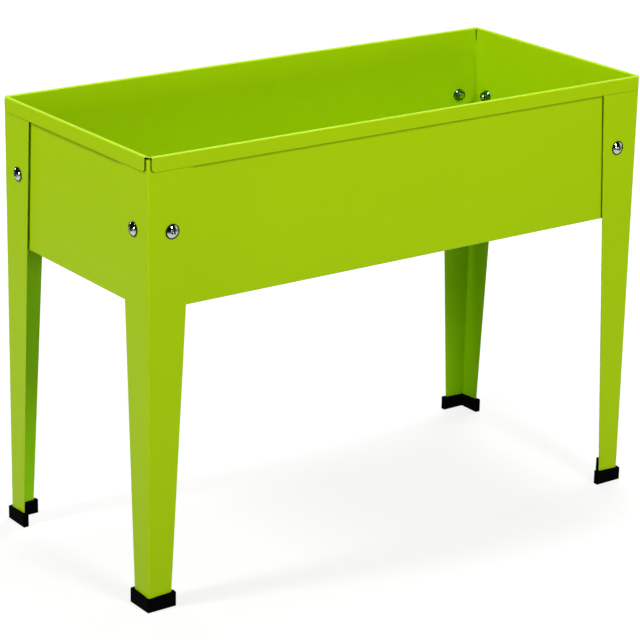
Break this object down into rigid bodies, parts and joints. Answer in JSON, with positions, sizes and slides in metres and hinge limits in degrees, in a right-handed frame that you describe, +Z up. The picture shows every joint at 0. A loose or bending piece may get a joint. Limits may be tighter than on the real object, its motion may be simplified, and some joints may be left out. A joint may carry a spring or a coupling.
{
  "type": "raised garden bed",
  "caption": "Free-standing raised garden bed: a rectangular folded sheet-steel tub with a turned-down rim, bolted to tapered angle legs that end in plastic foot caps.",
  "frame": {"origin": "on the floor under the centre of the tub", "axes": "+X along the tub's long side, to the right seen from the front; +Y from the front wall to the back wall; +Z up"},
  "size_m": [0.8066, 0.3636, 0.6],
  "materials": {
    "lime_powder_coat": "smooth semi-gloss lime-green powder coat on sheet steel",
    "plated_steel": "bright nickel-plated steel",
    "black_plastic": "moulded black polyethylene, satin",
    "black_rubber": "plain moulded rubber"
  },
  "bodies": {
    "root": {"tub": "lime_powder_coat", "leg_front_left": "lime_powder_coat", "leg_front_right": "lime_powder_coat", "leg_back_left": "lime_powder_coat", "leg_back_right": "lime_powder_coat", "foot_front_left": "black_plastic", "foot_front_right": "black_plastic", "foot_back_left": "black_plastic", "foot_back_right": "black_plastic", "bolt_front_left_long": "plated_steel", "bolt_front_left_end": "plated_steel", "bolt_front_right_long": "plated_steel", "bolt_front_right_end": "plated_steel", "bolt_back_left_long": "plated_steel", "bolt_back_left_end": "plated_steel", "bolt_back_right_long": "plated_steel", "bolt_back_right_end": "plated_steel", "nut_front_left_long": "plated_steel", "nut_front_left_end": "plated_steel", "nut_front_right_long": "plated_steel", "nut_front_right_end": "plated_steel", "nut_back_left_long": "plated_steel", "nut_back_left_end": "plated_steel", "nut_back_right_long": "plated_steel", "nut_back_right_end": "plated_steel", "spacer_front_left_long": "black_rubber", "spacer_front_left_end": "black_rubber", "spacer_front_right_long": "black_rubber", "spacer_front_right_end": "black_rubber", "spacer_back_left_long": "black_rubber", "spacer_back_left_end": "black_rubber", "spacer_back_right_long": "black_rubber", "spacer_back_right_end": "black_rubber"}
  },
  "joints": []
}
